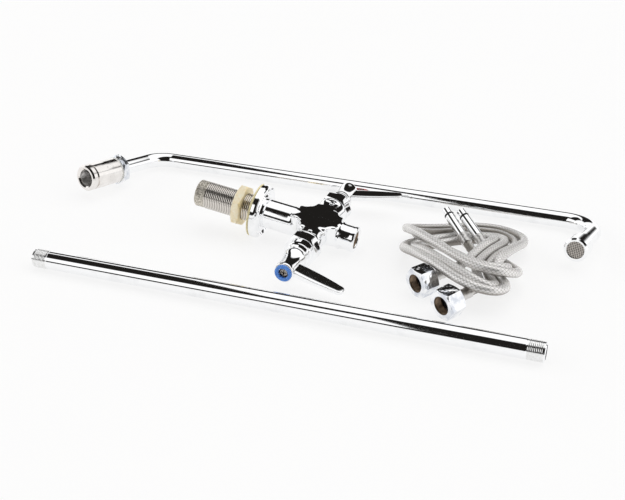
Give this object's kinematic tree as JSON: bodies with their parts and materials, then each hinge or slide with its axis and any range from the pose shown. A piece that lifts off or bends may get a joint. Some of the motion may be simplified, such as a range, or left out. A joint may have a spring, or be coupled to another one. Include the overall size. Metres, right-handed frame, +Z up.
{
  "type": "deck mount mixing faucet kit",
  "caption": "Deck-mount mixing faucet for a restaurant sink, taken apart: valve with lever handles, straight riser pipe, swing nozzle with swivel and aerator, and two braided supply hoses.",
  "frame": {"origin": "centre of the footprint of the laid-out kit, on the surface that it lies on", "axes": "+X along the riser pipe and the valve, from the shank to the outlet; +Y to the nozzle arm; +Z up from the surface"},
  "size_m": [0.5227, 0.2588, 0.0519],
  "materials": {
    "chrome": "polished chrome plating",
    "chrome_satin": "satin nickel-coloured plating",
    "raw_brass": "dull grey brass with threads",
    "brass": "machined brass",
    "gasket": "pale yellow fibre gasket",
    "seal": "black rubber",
    "white_plastic": "white moulded plastic",
    "blue": "blue index ring",
    "red": "red index ring",
    "screw": "grey-brown screw head",
    "mesh": "woven steel screen",
    "braid": "braided stainless wire over rubber"
  },
  "bodies": {
    "valve": {"valve_body": "chrome", "base_flange": "chrome", "deck_gasket": "gasket", "shank": "raw_brass", "cold_bonnet": "chrome", "cold_bonnet_seal": "seal", "cold_cartridge": "brass", "cold_seat_seal": "seal", "hot_bonnet": "chrome", "hot_bonnet_seal": "seal", "hot_cartridge": "brass", "hot_seat_seal": "seal"},
    "lock_nut": {"lock_nut": "brass"},
    "cold_handle": {"cold_stem": "brass", "cold_lever": "chrome", "cold_index_ring": "blue", "cold_screw": "screw"},
    "hot_handle": {"hot_stem": "brass", "hot_lever": "chrome", "hot_index_ring": "red", "hot_screw": "screw"},
    "riser": {"riser_pipe": "chrome"},
    "nozzle": {"nozzle_tube": "chrome", "tube_collar": "chrome", "swivel_bush": "white_plastic", "swivel_seals": "seal", "outlet_collar": "chrome"},
    "swivel": {"riser_coupling": "chrome_satin", "swivel_nut": "chrome", "thrust_ring": "white_plastic", "coupling_gasket": "seal"},
    "aerator": {"aerator_housing": "chrome", "aerator_washer": "seal", "aerator_insert": "white_plastic", "aerator_screen": "mesh"},
    "hoses": {"hose_a": "braid", "hose_a_tail": "raw_brass", "hose_a_ferrule": "chrome_satin", "hose_a_washer": "seal", "hose_a_connector": "chrome", "hose_a_connector_ferrule": "chrome_satin", "hose_a_oring": "seal", "hose_b": "braid", "hose_b_tail": "raw_brass", "hose_b_ferrule": "chrome_satin", "hose_b_washer": "seal", "hose_b_connector": "chrome", "hose_b_connector_ferrule": "chrome_satin", "hose_b_oring": "seal"},
    "supply_nut_a": {"hose_a_nut": "chrome"},
    "supply_nut_b": {"hose_b_nut": "chrome"}
  },
  "joints": [
    {"name": "lock_nut_turn", "type": "hinge", "parent": "valve", "child": "lock_nut", "pos_m": [-0.06731, 0.00297, 0.02866], "axis": [0.99, -0.0173, -0.1398], "continuous": true},
    {"name": "cold_handle_turn", "type": "hinge", "parent": "valve", "child": "cold_handle", "pos_m": [0.00968, -0.06839, 0.01761], "axis": [-0.0175, -0.9998, 0], "range_deg": [0, 90]},
    {"name": "hot_handle_turn", "type": "hinge", "parent": "valve", "child": "hot_handle", "pos_m": [0.01212, 0.07159, 0.01761], "axis": [-0.0175, -0.9998, 0], "range_deg": [-11, 79]},
    {"name": "riser_lift", "type": "slide", "parent": "valve", "child": "riser", "axis": [0, 0, 1], "range_m": [0, 0.06]},
    {"name": "nozzle_lift", "type": "slide", "parent": "valve", "child": "nozzle", "axis": [0, 0, 1], "range_m": [0, 0.06]},
    {"name": "swivel_turn", "type": "hinge", "parent": "nozzle", "child": "swivel", "pos_m": [-0.23711, 0.05896, 0.01697], "axis": [-0.2789, -0.9506, 0.1367], "continuous": true},
    {"name": "aerator_turn", "type": "hinge", "parent": "nozzle", "child": "aerator", "pos_m": [0.24471, 0.04303, 0.01841], "axis": [-0.1941, -0.971, 0.1395], "continuous": true},
    {"name": "hoses_lift", "type": "slide", "parent": "valve", "child": "hoses", "axis": [0, 0, 1], "range_m": [0, 0.06]},
    {"name": "supply_nut_a_turn", "type": "hinge", "parent": "hoses", "child": "supply_nut_a", "pos_m": [0.12401, -0.05262, 0.01268], "axis": [0.6014, 0.7981, 0.0349], "continuous": true},
    {"name": "supply_nut_b_turn", "type": "hinge", "parent": "hoses", "child": "supply_nut_b", "pos_m": [0.15255, -0.0806, 0.01282], "axis": [0.5439, 0.8375, 0.0523], "continuous": true}
  ]
}
